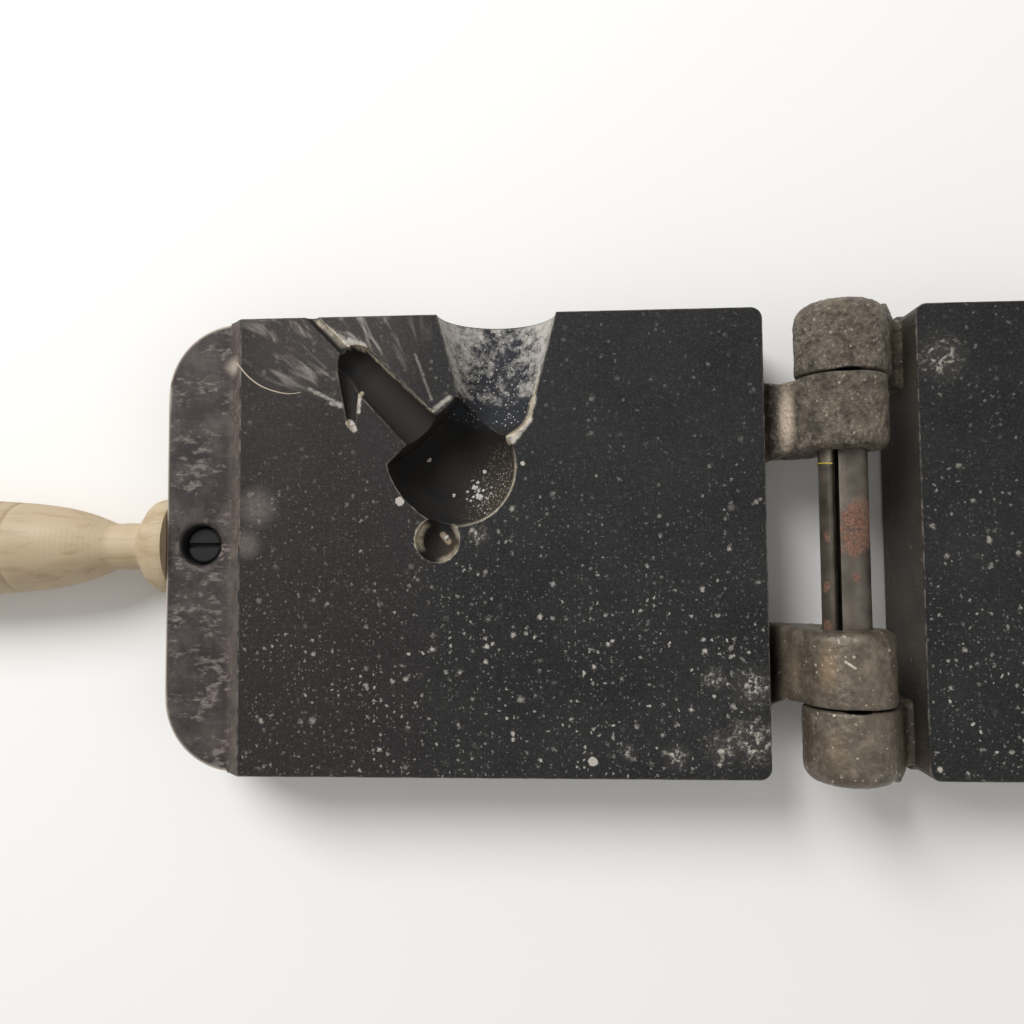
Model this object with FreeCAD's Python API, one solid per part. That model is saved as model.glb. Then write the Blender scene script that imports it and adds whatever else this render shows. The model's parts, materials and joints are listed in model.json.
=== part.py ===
import FreeCAD, Part
import math
import os

# Hinged two-part casting mould for a round-head fishing jig, lying open and flat.
# Millimetres. X runs across both halves, Y along the hinge, +Z up. The origin is under the middle of the hinge.

# Halves
block_height = 19.05          # three-quarter inch plate
half_width = 40.0             # along the hinge, from the middle
hinge_side = 12.75            # from the hinge axis to the near side of each half
face_edge = 103.8             # far edge of the machined face
flange_edge = 118.2           # far edge of the lower handle flange
flange_drop = 2.6
riser_run = 2.4               # how far the slope between flange and face runs
riser_round = 1.5
near_corner = 2.0
far_corner = 13.0
back_round = 1.5
panel_rim = 8.0               # rim left around the sunk panel in the back
panel_corner = 7.0
panel_depth = 1.2
panel_round = 0.9
face_gap = 0.05               # the hinge axis stands this far above the machined faces
axis_height = block_height + face_gap

# Hinge
knuckle_radius = 7.63
inner_span = (14.8, 27.3)     # knuckles of the left half, from the middle
outer_span = (27.6, 40.0)     # knuckles of the right half
inner_round = 1.8             # round on the free end of a knuckle
outer_round = 3.0
seam_round = 0.8              # round where two knuckles meet
web_top_drop = 6.0            # valley beside the block, below the machined face
web_foot_drop = 15.0
web_valley = 11.4             # from the hinge axis to the foot of the web's slope
valley_round = 1.0
pin_radius = 3.97             # five-sixteenths inch slotted spring pin
pin_bore_clearance = 0.06
pin_wall = 1.45
pin_slot = 0.9
pin_slot_angle = 37.0         # from the top towards the left half
pin_length = 78.4
pin_chamfer = 0.8

# Cavity, on the left half's face
head_centre = (-65.5, 13.2)
head_axis = (-0.690, 0.724)   # from the ball towards the collar
head_radius = 10.25
head_back = 8.75              # from the centre to the flat back
head_back_radius = 8.4
head_shoulder = (5.4, 9.83)   # along the axis and across it, between the widest place and the flat back
collar_length = 16.6
collar_radii = (3.6, 3.3)
shank_radius = 0.8
barb_start = (25.6, -1.6)     # along the head axis, across it
barb_tip = (18.3, -8.0)
barb_radii = (2.1, 0.65)
eye_centre = (-68.86, 0.53)
eye_radius = 3.8
eye_depth = 3.4
eye_round = 2.4
funnel_x = -58.4
funnel_end_y = 24.4
funnel_end_radius = 6.35
funnel_mouth_radius = 10.4

# Handle
handle_axis_height = block_height / 2
bead_radius = 9.1
bead_length = 6.8
bead_shoulder = (3.9, 8.25)   # from the flange, radius
neck_radius = 4.4
neck_length = 5.5
grip_length = 89.0
grip_profile = ((9.0, 7.3), (34.0, 9.2), (64.0, 7.7), (85.0, 7.2))   # from the neck's end, radius
tail_shoulder = (88.0, 6.1)
tail_radius = 5.5
screw_radius = 2.08           # number 8 machine screw
screw_hole_radius = 2.3
screw_head_radius = 4.1
screw_head_height = 2.6
screw_head_round = 1.2
screw_slot = (1.2, 1.2)       # width, depth
counterbore_radius = 5.1
counterbore_depth = 5.0
washer_radius = 4.75
washer_hole_radius = 2.25
washer_height = 0.9
nut_x = -111.8
nut_radius = 3.175            # quarter inch barrel nut
nut_length = 10.0
nut_chamfer = 0.4
nut_slot = 1.0                # width and depth of the slot that turns it into line
nut_hole_radius = 3.45
nut_hole_floor = 3.6
screw_beyond_nut = 1.4

margin = 2.0                  # how far a cutting solid runs past what it cuts
overlap = 0.5                 # how far two joined cutting solids run into each other
same = 1e-3                   # lengths closer than this are equal
up = FreeCAD.Vector(0, 0, 1)
along_hinge = FreeCAD.Vector(0, 1, 0)


def at(x, y, z):
    return FreeCAD.Vector(x, y, z)


def on_face(along, across):
    """A point of the machined face, given along and across the axis of the head cavity."""
    ax, ay = head_axis
    x, y = head_centre
    return at(x + along * ax + across * ay, y + along * ay - across * ax, block_height)


def round_bar(radius, start, end):
    return Part.makeCylinder(radius, (end - start).Length, start, end - start)


def taper_bar(radii, start, end):
    return Part.makeCone(radii[0], radii[1], (end - start).Length, start, end - start)


def revolved(edges, start, direction):
    return Part.Face(Part.Wire(edges)).revolve(start, direction, 360)


def line(start, end):
    return Part.LineSegment(start, end).toShape()


def arc(start, middle, end):
    return Part.Arc(start, middle, end).toShape()


def rounded_plan(x_far, x_near, y_half, far_radius, near_radius, z):
    """A rectangle of the left half's plan, with one radius at its far corners and one at its near corners."""
    arcs = []
    for x, side_x, radius in ((x_far, 1, far_radius), (x_near, -1, near_radius)):
        for side_y in (-1, 1):
            centre_x, centre_y = x + side_x * radius, side_y * (y_half - radius)
            diagonal = radius * math.sqrt(0.5)
            middle = at(centre_x - side_x * diagonal, centre_y + side_y * diagonal, z)
            arcs.append(arc(at(x, centre_y, z), middle, at(centre_x, side_y * y_half, z)))
    ends = [(item.Vertexes[0].Point, item.Vertexes[1].Point) for item in arcs]
    lower_far, upper_far, lower_near, upper_near = ends
    sides = [line(lower_far[0], upper_far[0]), line(lower_near[0], upper_near[0]),
             line(lower_far[1], lower_near[1]), line(upper_far[1], upper_near[1])]
    return Part.Face(Part.Wire(Part.__sortEdges__(arcs + sides)))


def block_plate():
    plan = rounded_plan(-flange_edge, -hinge_side, half_width, far_corner, near_corner, 0)
    plate = plan.extrude(up * block_height)
    low_edges = [edge for edge in plate.Edges if edge.BoundBox.ZMax < margin / 2]
    return plate.makeFillet(back_round, low_edges)


def back_panel():
    """The shallow sunk panel in the back, which leaves a flat rim to rest on."""
    plan = rounded_plan(-flange_edge + panel_rim, -hinge_side - panel_rim, half_width - panel_rim,
                        panel_corner, panel_corner, -margin)
    cut = plan.extrude(up * (margin + panel_depth))
    floor_edges = [edge for edge in cut.Edges if edge.BoundBox.ZMin > 0]
    return cut.makeFillet(panel_round, floor_edges)


def riser_cut():
    """What is missing above the handle flange: a step with a sloping, rounded riser."""
    low = block_height - flange_drop
    high = block_height + margin
    slope = math.atan2(flange_drop, riser_run)
    foot = -face_edge - riser_run
    reach = riser_round * math.tan(slope / 2)
    arc_start = (foot - reach, low)
    arc_middle = (arc_start[0] + riser_round * math.sin(slope / 2),
                  low + riser_round * (1 - math.cos(slope / 2)))
    arc_end = (foot + reach * math.cos(slope), low + reach * math.sin(slope))
    outline = [(-flange_edge - margin, high), (-flange_edge - margin, low), arc_start, arc_middle, arc_end,
               (-face_edge, block_height), (-face_edge, high)]
    points = [at(x, -half_width - margin, z) for x, z in outline]
    edges = [line(points[0], points[1]), line(points[1], points[2]), arc(*points[2:5]),
             line(points[4], points[5]), line(points[5], points[6]), line(points[6], points[0])]
    return Part.Face(Part.Wire(edges)).extrude(along_hinge * 2 * (half_width + margin))


def head_cavity():
    """The round head with its flat back, as a solid of revolution about an axis in the face."""
    back = on_face(head_back, 0)
    back_rim = on_face(head_back, head_back_radius)
    shoulder = on_face(*head_shoulder)
    widest = on_face(0, head_radius)
    front_mid = on_face(-head_radius * math.sqrt(0.5), head_radius * math.sqrt(0.5))
    front = on_face(-head_radius, 0)
    edges = [line(back, back_rim), arc(back_rim, shoulder, widest), arc(widest, front_mid, front),
             line(front, back)]
    return revolved(edges, back, front - back)


def collar_groove():
    start = on_face(head_back - overlap, 0)
    end = on_face(head_back + collar_length, 0)
    return taper_bar(collar_radii, start, end).fuse(Part.makeSphere(collar_radii[1], end))


def shank_groove():
    return round_bar(shank_radius, on_face(head_back, 0), on_face(half_width + margin, 0))


def barb_groove():
    start, tip = on_face(*barb_start), on_face(*barb_tip)
    return taper_bar(barb_radii, start, tip).fuse(Part.makeSphere(barb_radii[1], tip))


def eye_pit():
    """The round-bottomed pit that takes the eye of the hook."""
    x, y = eye_centre
    floor = block_height - eye_depth
    turn = eye_round * (1 - math.sqrt(0.5))
    edges = [line(at(x, y, floor), at(x + eye_radius - eye_round, y, floor)),
             arc(at(x + eye_radius - eye_round, y, floor), at(x + eye_radius - turn, y, floor + turn),
                 at(x + eye_radius, y, floor + eye_round)),
             line(at(x + eye_radius, y, floor + eye_round), at(x + eye_radius, y, block_height + margin)),
             line(at(x + eye_radius, y, block_height + margin), at(x, y, block_height + margin)),
             line(at(x, y, block_height + margin), at(x, y, floor))]
    return revolved(edges, at(x, y, 0), up)


def funnel():
    """The pouring funnel: a half cone from the top side, with a round end that opens into the head."""
    end = at(funnel_x, funnel_end_y, block_height)
    mouth = at(funnel_x, half_width, block_height)
    past = at(funnel_x, half_width + margin, block_height)
    cone = taper_bar((funnel_end_radius, funnel_mouth_radius), end, mouth)
    return cone.fuse([Part.makeSphere(funnel_end_radius, end), round_bar(funnel_mouth_radius, mouth, past)])


def tangent_point(x, z, side):
    """Where a line from (x, z) touches the knuckle's circle; side picks the upper or the lower touch."""
    angle = math.atan2(z, x) + side * math.acos(knuckle_radius / math.hypot(x, z))
    return knuckle_radius * math.cos(angle), knuckle_radius * math.sin(angle)


def knuckle_section(y):
    """Section of a knuckle and its web, a tear shape that runs into the block's side."""
    inside = -hinge_side - margin
    valley = (-web_valley, -web_top_drop)
    foot = (-hinge_side, -web_foot_drop)
    top = tangent_point(*valley, -1)
    bottom = tangent_point(*foot, 1)
    deep = foot[1] - (bottom[1] - foot[1]) * margin / (bottom[0] - foot[0])
    slope = math.atan2(top[1] - valley[1], top[0] - valley[0])
    reach = valley_round * math.tan(slope / 2)
    arc_start = (valley[0] - reach, valley[1])
    arc_end = (valley[0] + reach * math.cos(slope), valley[1] + reach * math.sin(slope))
    arc_middle = (arc_start[0] + valley_round * math.sin(slope / 2),
                  arc_start[1] + valley_round * (1 - math.cos(slope / 2)))
    outline = [(inside, -web_top_drop), arc_start, arc_middle, arc_end, top, (knuckle_radius, 0.0), bottom,
               (inside, deep)]
    points = [at(x, y, axis_height + z) for x, z in outline]
    edges = [line(points[0], points[1]), arc(*points[1:4]), line(points[3], points[4]), arc(*points[4:7]),
             line(points[6], points[7]), line(points[7], points[0])]
    return Part.Face(Part.Wire(edges))


def knuckle(span, end_rounds):
    """One knuckle on the +Y side, with a round for each end of its span."""
    low, high = span
    body = knuckle_section(low).extrude(along_hinge * (high - low))
    for place, radius in zip(span, end_rounds):
        rim = [edge for edge in body.Edges if edge.BoundBox.YLength < same < edge.BoundBox.XLength
               and abs(edge.BoundBox.YMin - place) < same]
        body = body.makeFillet(radius, rim)
    return body


def mirrored(shape, direction):
    return shape.mirror(at(0, 0, 0), direction)


def pin_bore(radius):
    return round_bar(radius, at(0, -half_width - margin, axis_height), at(0, half_width + margin, axis_height))


def mould_half(span, end_rounds, bore_radius):
    """One half of the mould as the left half: block, cavity, knuckles and the holes for its handle."""
    upper = knuckle(span, end_rounds)
    solid = block_plate().fuse([upper, mirrored(upper, along_hinge)])
    nut_hole = Part.makeCylinder(nut_hole_radius, block_height, at(nut_x, 0, nut_hole_floor))
    screw_hole = round_bar(screw_hole_radius, at(-flange_edge - margin, 0, handle_axis_height),
                           at(nut_x + nut_hole_radius + screw_beyond_nut, 0, handle_axis_height))
    cuts = [riser_cut(), back_panel(), head_cavity(), collar_groove(), shank_groove(), barb_groove(),
            eye_pit(), funnel(), pin_bore(bore_radius), nut_hole, screw_hole]
    for cut in cuts:
        solid = solid.cut(cut)
    return solid.removeSplitter()


def hinge_pin():
    """A slotted spring pin: a rolled tube with chamfered ends and one slot along it."""
    half = pin_length / 2
    start = at(0, -half, axis_height)
    outer = Part.makeCylinder(pin_radius, pin_length, start, along_hinge)
    ends = [edge for edge in outer.Edges if edge.BoundBox.YLength < same]
    tube = outer.makeChamfer(pin_chamfer, ends).cut(
        round_bar(pin_radius - pin_wall, at(0, -half - margin, axis_height), at(0, half + margin, axis_height)))
    slot = Part.makeBox(pin_slot, pin_length + 2 * margin, pin_radius + margin,
                        at(-pin_slot / 2, -half - margin, axis_height))
    slot.rotate(at(0, 0, axis_height), along_hinge, -pin_slot_angle)
    return tube.cut(slot)


def handle():
    """A turned wooden handle: bead against the flange, narrow neck, long swelling grip with a counterbore."""
    wall = -flange_edge
    z = handle_axis_height

    def turned(along, radius):
        return at(wall - along, 0, z + radius)

    grip_start = bead_length + neck_length
    tail = grip_start + grip_length
    grip_points = [turned(grip_start, neck_radius)]
    grip_points += [turned(grip_start + along, radius) for along, radius in grip_profile]
    grip = Part.BSplineCurve()
    grip.interpolate(grip_points)
    shoulder = turned(grip_start + tail_shoulder[0], tail_shoulder[1])
    rim = turned(tail, tail_radius)
    edges = [line(turned(0, 0), turned(0, bead_radius)),
             arc(turned(0, bead_radius), turned(*bead_shoulder), turned(bead_length, neck_radius)),
             line(turned(bead_length, neck_radius), grip_points[0]), grip.toShape(),
             arc(grip_points[-1], shoulder, rim), line(rim, turned(tail, 0)),
             line(turned(tail, 0), turned(0, 0))]
    solid = revolved(edges, turned(0, 0), at(-1, 0, 0))
    solid = solid.cut(round_bar(screw_hole_radius, turned(-margin, 0), turned(tail + margin, 0)))
    counterbore = round_bar(counterbore_radius, turned(tail - counterbore_depth, 0), turned(tail + margin, 0))
    return solid.cut(counterbore)


def counterbore_floor():
    return -flange_edge - bead_length - neck_length - grip_length + counterbore_depth


def washer():
    floor = at(counterbore_floor(), 0, handle_axis_height)
    outside = floor - at(washer_height, 0, 0)
    return round_bar(washer_radius, floor, outside).cut(round_bar(washer_hole_radius, floor + at(margin, 0, 0),
                                                                  outside - at(margin, 0, 0)))


def handle_screw():
    """A long slotted pan-head machine screw that draws the handle against the flange."""
    under_head = at(counterbore_floor() - washer_height, 0, handle_axis_height)
    top = under_head - at(screw_head_height, 0, 0)
    tip = at(nut_x + nut_radius + screw_beyond_nut, 0, handle_axis_height)
    head = round_bar(screw_head_radius, under_head, top)
    rim = [edge for edge in head.Edges if edge.BoundBox.XMax < top.x + same]
    head = head.makeFillet(screw_head_round, rim)
    width, depth = screw_slot
    slot = Part.makeBox(depth + margin, width, 2 * screw_head_radius + margin,
                        at(top.x - margin, -width / 2, handle_axis_height - screw_head_radius - margin / 2))
    return head.cut(slot).fuse(round_bar(screw_radius, under_head, tip))


def barrel_nut():
    low = handle_axis_height - nut_length / 2
    barrel = Part.makeCylinder(nut_radius, nut_length, at(nut_x, 0, low))
    rims = [edge for edge in barrel.Edges if edge.BoundBox.ZLength < same]
    barrel = barrel.makeChamfer(nut_chamfer, rims)
    thread = round_bar(screw_radius, at(nut_x - nut_radius - margin, 0, handle_axis_height),
                       at(nut_x + nut_radius + margin, 0, handle_axis_height))
    slot = Part.makeBox(2 * nut_radius + margin, nut_slot, nut_slot,
                        at(nut_x - nut_radius - margin / 2, -nut_slot / 2, low + nut_length - nut_slot))
    return barrel.cut(thread).cut(slot)


def save(name, shape):
    solid = shape.Solids[0] if len(shape.Solids) == 1 else shape
    print(name, len(shape.Solids), "solid", round(shape.Volume), "mm3", shape.isValid())
    solid.exportStep("parts/" + name + ".step")


os.makedirs("parts", exist_ok=True)
left_parts = {"handle": handle(), "handle_washer": washer(), "handle_screw": handle_screw(),
              "barrel_nut": barrel_nut()}
across = at(1, 0, 0)
save("left_block", mould_half(inner_span, (inner_round, seam_round), pin_radius + pin_bore_clearance))
save("right_block", mirrored(mould_half(outer_span, (seam_round, outer_round), pin_radius), across))
save("hinge_pin", hinge_pin())
for name, shape in left_parts.items():
    save("left_" + name, shape)
    save("right_" + name, mirrored(shape, across))
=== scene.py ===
import json
import math
import random
from functools import reduce

import bmesh
import bpy
from mathutils import Matrix, Vector

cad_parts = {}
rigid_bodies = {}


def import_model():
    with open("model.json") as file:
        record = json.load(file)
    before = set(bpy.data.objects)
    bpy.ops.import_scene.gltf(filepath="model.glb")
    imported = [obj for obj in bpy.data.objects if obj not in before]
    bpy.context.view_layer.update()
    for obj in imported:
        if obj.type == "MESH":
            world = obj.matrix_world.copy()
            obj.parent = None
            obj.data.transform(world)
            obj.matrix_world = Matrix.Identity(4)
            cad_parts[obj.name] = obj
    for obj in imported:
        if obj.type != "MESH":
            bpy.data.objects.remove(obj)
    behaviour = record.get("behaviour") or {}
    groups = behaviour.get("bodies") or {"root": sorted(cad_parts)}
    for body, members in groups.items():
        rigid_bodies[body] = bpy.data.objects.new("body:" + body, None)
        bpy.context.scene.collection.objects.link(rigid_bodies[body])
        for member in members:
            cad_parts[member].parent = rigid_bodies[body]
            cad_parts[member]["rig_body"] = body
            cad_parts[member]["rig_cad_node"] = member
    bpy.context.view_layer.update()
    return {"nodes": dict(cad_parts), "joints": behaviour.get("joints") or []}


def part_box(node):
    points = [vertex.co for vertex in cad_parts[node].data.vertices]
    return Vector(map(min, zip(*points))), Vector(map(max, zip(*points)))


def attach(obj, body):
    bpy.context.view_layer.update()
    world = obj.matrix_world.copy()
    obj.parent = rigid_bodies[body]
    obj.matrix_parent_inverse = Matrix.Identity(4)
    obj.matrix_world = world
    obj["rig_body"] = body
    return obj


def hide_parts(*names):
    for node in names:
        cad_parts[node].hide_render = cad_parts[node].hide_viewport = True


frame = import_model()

mm = 0.001
hinge = Vector(frame["joints"][0]["pos_m"])
leftLow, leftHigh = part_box("left_block")
flangeEdge = -leftLow.x  # from the hinge axis to the outer side of each flange
halfWidth = leftHigh.y
faceTop = hinge.z - 0.05 * mm  # the machined faces lie just under the hinge axis
bodyOf = {"left": "left_half", "right": "right_half"}
signOf = {"left": -1, "right": 1}


# small helpers

def linear(hexColour):  # an sRGB hex colour, turned to the linear one that a shader takes
    channels = [int(hexColour[i:i + 2], 16) / 255 for i in (1, 3, 5)]
    return [c / 12.92 if c <= 0.04045 else ((c + 0.055) / 1.055) ** 2.4 for c in channels] + [1.0]


def isSocket(value):
    return isinstance(value, bpy.types.NodeSocket)


def addNode(kind, links, give=0, tree=None, **settings):
    # joins the node to the tree that its links come from; returns the socket that the next node takes
    tree = tree or next(value.id_data for value in links.values() if isSocket(value))
    node = tree.nodes.new("ShaderNode" + kind)
    for name, value in settings.items():
        setattr(node, name, value)
    for name, value in links.items():
        if isSocket(value):
            tree.links.new(value, node.inputs[name])
        else:
            node.inputs[name].default_value = value
    return node.outputs[give] if node.outputs else node


def startMaterial(name):  # a material and the place on the object in millimetres
    material = bpy.data.materials.new(name)
    material.use_nodes = True
    material.node_tree.nodes.clear()
    onObject = addNode("TexCoord", {}, give="Object", tree=material.node_tree)
    return material, addNode("VectorMath", {0: onObject, 1: (1 / mm, 1 / mm, 1 / mm)}, operation="MULTIPLY")


def endMaterial(material, colour, rough, height=None, strength=0, deep=0, metal=0, specular=0.5):
    # gives it its shader, with a bump of that height where there is one; deep is in mm
    links = {"Base Color": colour, "Roughness": rough, "Metallic": metal, "Specular IOR Level": specular}
    if height is not None:
        links["Normal"] = addNode("Bump", {"Height": height, "Strength": strength, "Distance": deep * mm})
    addNode("OutputMaterial", {"Surface": addNode("BsdfPrincipled", links, tree=material.node_tree)})
    return material


def product(*masks):
    return reduce(lambda one, other: addNode("Math", {0: one, 1: other}, operation="MULTIPLY",
                                             use_clamp=True), masks)


def strongest(*masks):
    return reduce(lambda one, other: addNode("Math", {0: one, 1: other}, operation="MAXIMUM",
                                             use_clamp=True), masks)


def tint(colour, hexColour, *masks):  # lays a colour over another as far as the masks allow
    return addNode("Mix", {0: product(*masks), 6: colour, 7: linear(hexColour)}, give=2, data_type="RGBA")


def activate(obj):
    bpy.ops.object.select_all(action="DESELECT")
    obj.select_set(True)
    bpy.context.view_layer.objects.active = obj


def newest(name):  # names the object that an add operator has just made
    obj = bpy.context.object
    obj.name = obj.data.name = name
    return obj


def selectAll():
    bpy.ops.mesh.select_all(action="SELECT")


def editing(obj):
    activate(obj)
    bpy.ops.object.mode_set(mode="EDIT")


def doneEditing():
    bpy.ops.object.mode_set(mode="OBJECT")


def pick(obj, kind, test):  # in edit mode: selects only the faces, edges or vertices that pass the test
    bpy.ops.mesh.select_all(action="DESELECT")
    bpy.ops.mesh.select_mode(type=kind)
    mesh = bmesh.from_edit_mesh(obj.data)
    for element in {"VERT": mesh.verts, "EDGE": mesh.edges, "FACE": mesh.faces}[kind]:
        if test(element):
            element.select_set(True)
    mesh.select_flush_mode()
    bmesh.update_edit_mesh(obj.data)


def finishWith(obj, kind, **settings):  # adds one modifier and applies it
    activate(obj)
    modifier = obj.modifiers.new(kind, kind)
    for name, value in settings.items():
        setattr(modifier, name, value)
    bpy.ops.object.modifier_apply(modifier=modifier.name)


def applyPlace(obj):
    activate(obj)
    bpy.ops.object.transform_apply(location=True, rotation=True, scale=True)


def joinAll(objects, name):
    bpy.ops.object.select_all(action="DESELECT")
    for obj in objects:
        obj.select_set(True)
    bpy.context.view_layer.objects.active = objects[0]
    bpy.ops.object.join()
    objects[0].name = objects[0].data.name = name
    return objects[0]


def closeUp(obj):  # welds doubles and turns every face outwards
    editing(obj)
    selectAll()
    bpy.ops.mesh.remove_doubles(threshold=0.002 * mm)
    bpy.ops.mesh.normals_make_consistent(inside=False)
    doneEditing()


def disc(name, sides, radius, place, turn, fill="NGON"):  # a flat sheet or ring, already in its place
    bpy.ops.mesh.primitive_circle_add(vertices=sides, radius=radius, fill_type=fill, location=place,
                                      rotation=[math.radians(angle) for angle in turn])
    sheet = newest(name)
    applyPlace(sheet)
    return sheet


def extrude(x, y, z):
    bpy.ops.mesh.extrude_region_move(TRANSFORM_OT_translate={"value": (x, y, z)})


def smoothBelow(obj, degrees):
    activate(obj)
    bpy.ops.object.shade_smooth_by_angle(angle=math.radians(degrees))


def clouds(name, size, depth=2):  # a texture for Displace; size is that of its lumps
    texture = bpy.data.textures.new(name, "CLOUDS")
    texture.noise_scale = size
    texture.noise_depth = depth
    return texture


def ramp(value, low, high):  # 0 below low, 1 above high, smooth between
    t = min(max((value - low) / (high - low), 0), 1)
    return t * t * (3 - 2 * t)


# materials

def speckMask(place, cell, share, radius, softness=0.35, flat=False):
    # scattered specks: cell is their spacing in mm, share how many cells have one, radius the largest in mm
    distance = addNode("TexVoronoi", {"Vector": place, "Scale": 1 / cell}, give="Distance",
                       voronoi_dimensions="2D" if flat else "3D")
    chance = addNode("SeparateColor", {0: distance.node.outputs["Color"]})
    size = addNode("MapRange", {"Value": chance, "From Min": 1 - share, "From Max": 1, "To Min": 0,
                                "To Max": radius / cell})
    return addNode("MapRange", {"Value": addNode("Math", {0: size, 1: distance}, operation="SUBTRACT"),
                                "From Min": 0, "From Max": softness * radius / cell})


def regionMask(place, centre, inner, outer):  # 1 within inner mm of a point, 0 past outer mm
    return addNode("MapRange", {"Value": addNode("VectorMath", {0: place, 1: centre}, give="Value",
                                                 operation="DISTANCE"), "From Min": outer,
                                "From Max": inner}, interpolation_type="SMOOTHSTEP")


def lineMask(place, start, end, width, soft):
    # 1 within width mm of the line between two points on the face, seen from above
    (x0, y0), (x1, y1) = start, end
    angle = math.atan2(y1 - y0, x1 - x0)
    laid = addNode("Mapping", {"Vector": place, "Location": (x0, y0, 0), "Rotation": (0, 0, angle)},
                   vector_type="TEXTURE")
    along = addNode("SeparateXYZ", {0: laid}, give="X")
    inside = addNode("Clamp", {"Value": along, "Min": 0, "Max": math.hypot(x1 - x0, y1 - y0)})
    offset = addNode("CombineXYZ", {"X": addNode("Math", {0: along, 1: inside}, operation="SUBTRACT"),
                                    "Y": along.node.outputs["Y"]})
    distance = addNode("VectorMath", {0: offset}, give="Value", operation="LENGTH")
    return addNode("MapRange", {"Value": distance, "From Min": width + soft, "From Max": width},
                   interpolation_type="SMOOTHSTEP")


# where the cavities lie on each half, in mm: away from the hinge axis and along it
cavity = {"ball": (65.5, 13.2), "funnel": (58.4, 38.0), "eye": (68.86, 0.53)}


# Machined aluminium, smoked black by torch and poured lead: nearly matt charcoal with a fine tool grain,
# sprinkled with pale oxide, with pale smears that run out from the round cavity
sootedFaceLook = {
    "soot": "#1B1C1D", "warmSoot": "#292423", "greySoot": "#272828", "oxide": "#BDB7AD", "smear": "#857D77",
    "lead": "#CCC4B8",
    "toolMark": 0.45,     # spacing of the milling marks
    "mottle": 15.0,       # size of the clouds in the soot
    "fanCentre": (65.5, 12.5), "smearWide": 2.1, "smearLong": 9.0,
}
# pale marks seen from above, on the face and on the rims: start, end, half width, softness, strength
paleMarks = {
    "left": (((-89.9, 39.3), (-84.6, 34.9), 0.15, 0.60, 1.0),
             ((-84.2, 35.6), (-81.8, 34.6), 0.35, 0.50, 0.8),
             ((-81.6, 34.4), (-76.4, 29.2), 0.02, 0.35, 0.7),
             ((-76.4, 29.2), (-69.8, 22.9), 0.02, 0.28, 0.55),
             ((-69.4, 23.1), (-66.6, 25.3), 0.10, 0.55, 0.7),
             ((-91.4, 27.2), (-86.2, 24.6), 0.02, 0.50, 0.55),
             ((-87.4, 24.7), (-85.8, 24.2), 0.15, 0.50, 0.7),
             ((-55.9, 18.2), (-53.4, 21.4), 0.85, 0.55, 1.0),
             ((-53.2, 21.8), (-52.2, 25.0), 0.40, 0.60, 1.0),
             ((-52.2, 25.0), (-51.4, 28.5), 0.02, 0.50, 0.8),
             ((-69.8, 25.0), (-72.6, 33.0), 0.02, 0.35, 0.35),
             ((-106.0, 31.9), (-105.2, 32.2), 0.35, 0.60, 0.9),
             ((-82.4, 26.6), (-82.6, 23.0), 0.10, 0.40, 1.0),
             ((-84.3, 21.2), (-83.4, 20.0), 0.30, 0.45, 1.0)),
    "right": (((85.0, 38.0), (80.0, 32.0), 0.1, 0.7, 0.6), ((52.5, 19.0), (54.0, 24.0), 0.3, 0.6, 0.7),
              ((30.0, -20.0), (33.0, -26.0), 0.05, 0.5, 0.4)),
}
# rims with a pale crust seen from above: which, inner and outer radius, then the stretches that have it with
# their inner and outer reach and strength
crustedRims = (
    ("eye", 3.0, 3.9, ((72.6, 1.4, 1.6, 3.4, 0.95), (66.6, -2.4, 0.6, 3.2, 0.75),
                       (65.6, 2.0, 0.6, 2.0, 0.7))),
    ("ball", 10.0, 10.35, ((57.0, 7.5, 4.5, 9.5, 0.75), (62.0, 2.6, 1.0, 5.0, 0.5))),
    ("funnel", 13.35, 13.6, ((60.0, 25.0, 3.0, 6.5, 0.55),)),
)
# places of pale deposits on each face: x, y, inner and outer radius
deposits = {
    "left": ((-15.6, -24.6, 0.8, 4.8), (-15.6, -33.4, 1.2, 5.6), (-21.0, -34.6, 0.6, 4.0),
             (-28.6, -36.2, 0.4, 3.0), (-36.6, -35.6, 0.2, 2.0), (-61.5, 1.3, 0.4, 2.2),
             (-22.0, -23.2, 0.2, 2.6)),
    "right": ((17.0, 30.5, 1.0, 5.5), (70.0, -33.0, 1.0, 5.0), (96.0, -20.0, 1.0, 6.0),
              (61.0, -1.0, 0.5, 3.0)),
}
spots = {"left": ((-75.3, 7.3, 0.7), (-42.5, -37.0, 0.7), (-54.0, 13.6, 0.3)),
         "right": ((40.0, 20.0, 0.9), (88.0, 3.0, 0.7))}
scuffs = {"left": ((-100.6, 6.5, 0.5, 5.0), (-102.4, 0.0, 0.5, 3.5)), "right": ((99.5, -7.0, 1.0, 6.0),)}


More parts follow.
